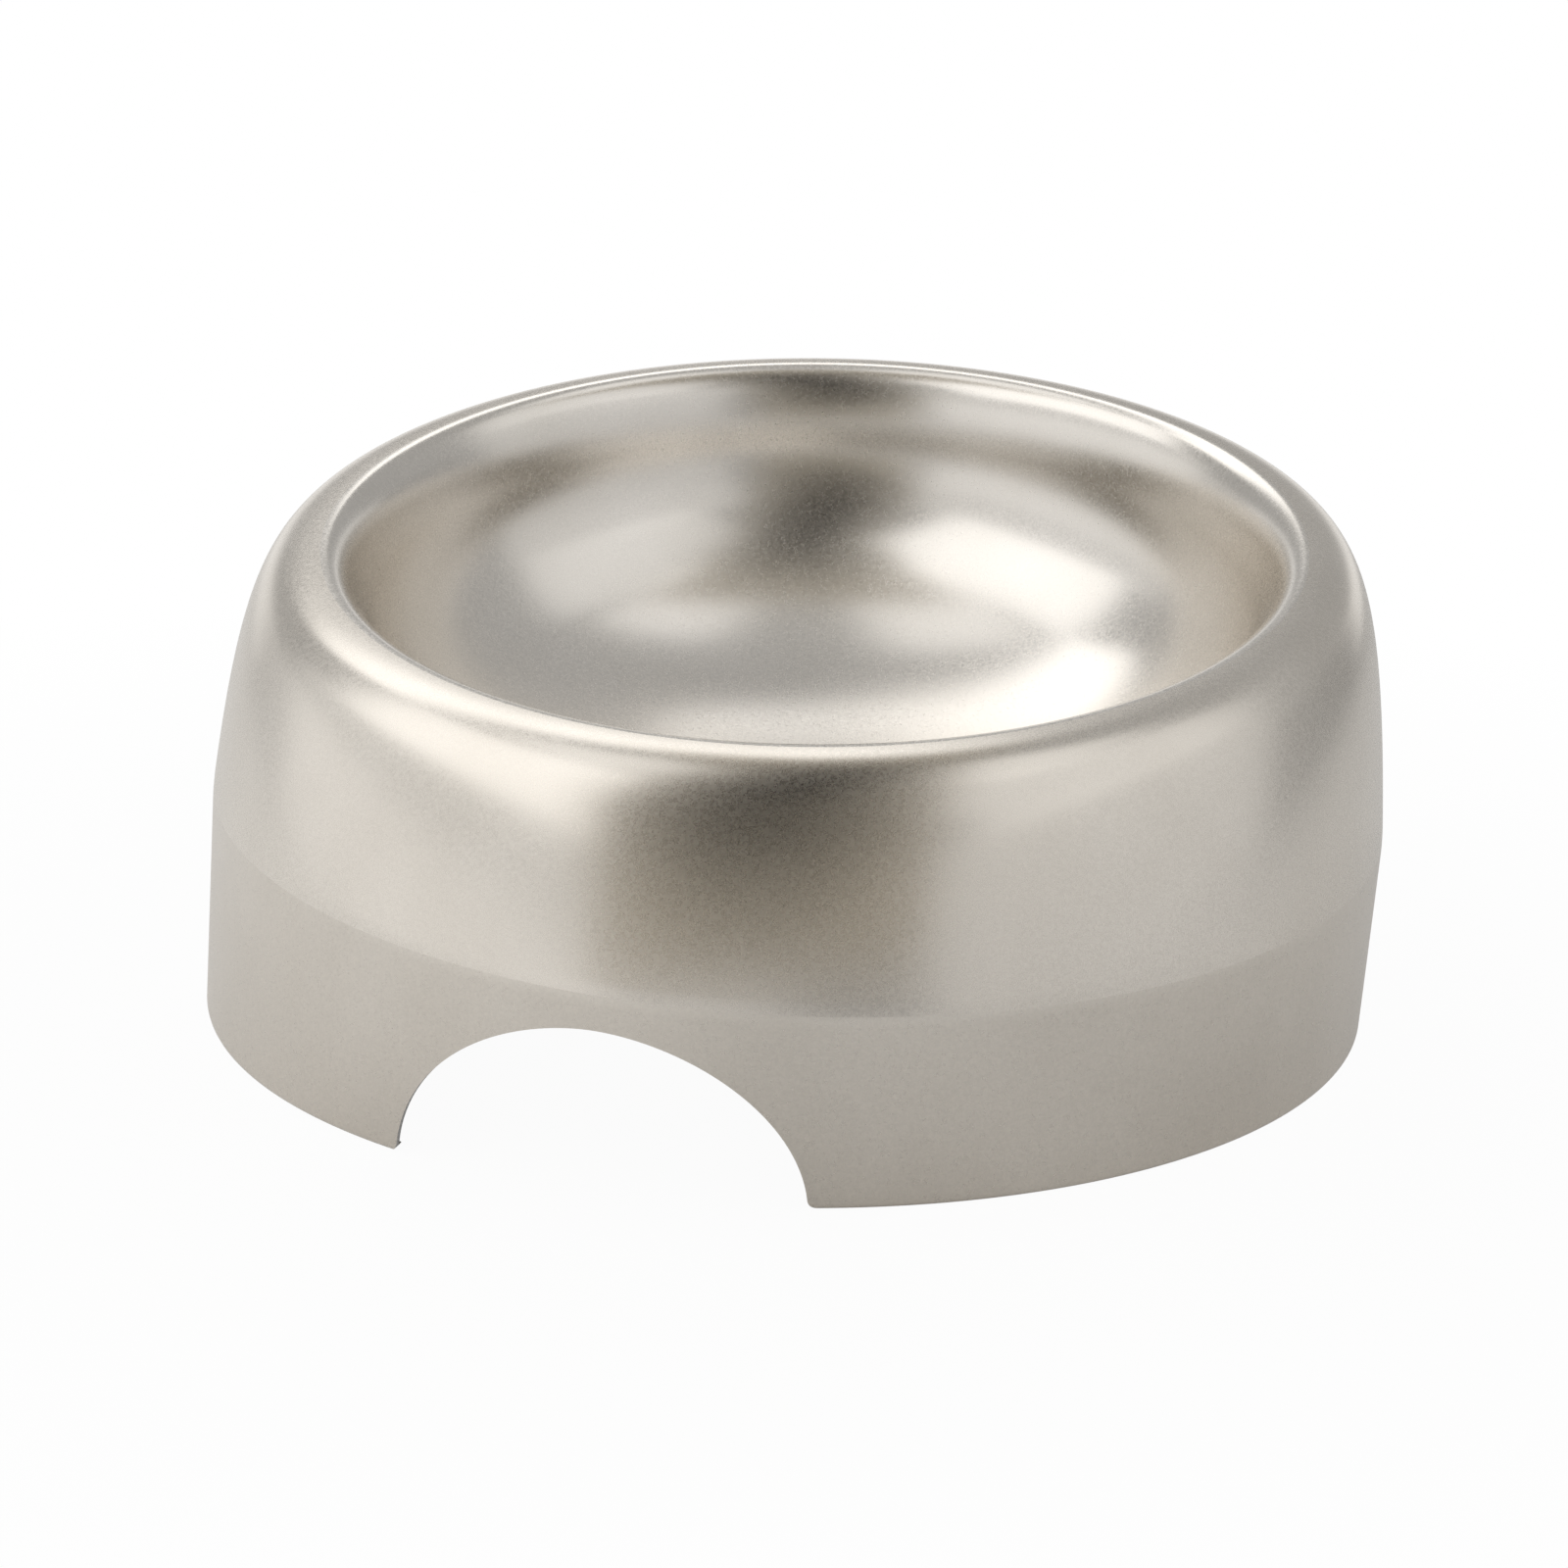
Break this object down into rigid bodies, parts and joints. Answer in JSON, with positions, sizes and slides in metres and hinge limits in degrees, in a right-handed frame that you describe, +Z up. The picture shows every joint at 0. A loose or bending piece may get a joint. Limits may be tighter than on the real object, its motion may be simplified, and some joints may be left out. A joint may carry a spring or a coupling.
{
  "type": "tilted cat bowl",
  "caption": "Low round pet bowl in satin steel: a dish with a wide rolled lip tilted to the front, a flared outer wall, and a level skirt with a finger arch.",
  "frame": {"origin": "on the floor, at the middle of the foot ring", "axes": "+Z up; -Y is the low side of the mouth, the front; +X is to the right seen from the front"},
  "size_m": [0.1518, 0.1503, 0.0739],
  "materials": {
    "dish_steel": "bead-blasted satin stainless steel",
    "shell_steel": "bead-blasted satin stainless steel",
    "skirt_steel": "bead-blasted satin stainless steel"
  },
  "bodies": {
    "root": {"dish": "dish_steel", "outer_shell": "shell_steel", "base_skirt": "skirt_steel"}
  },
  "joints": []
}
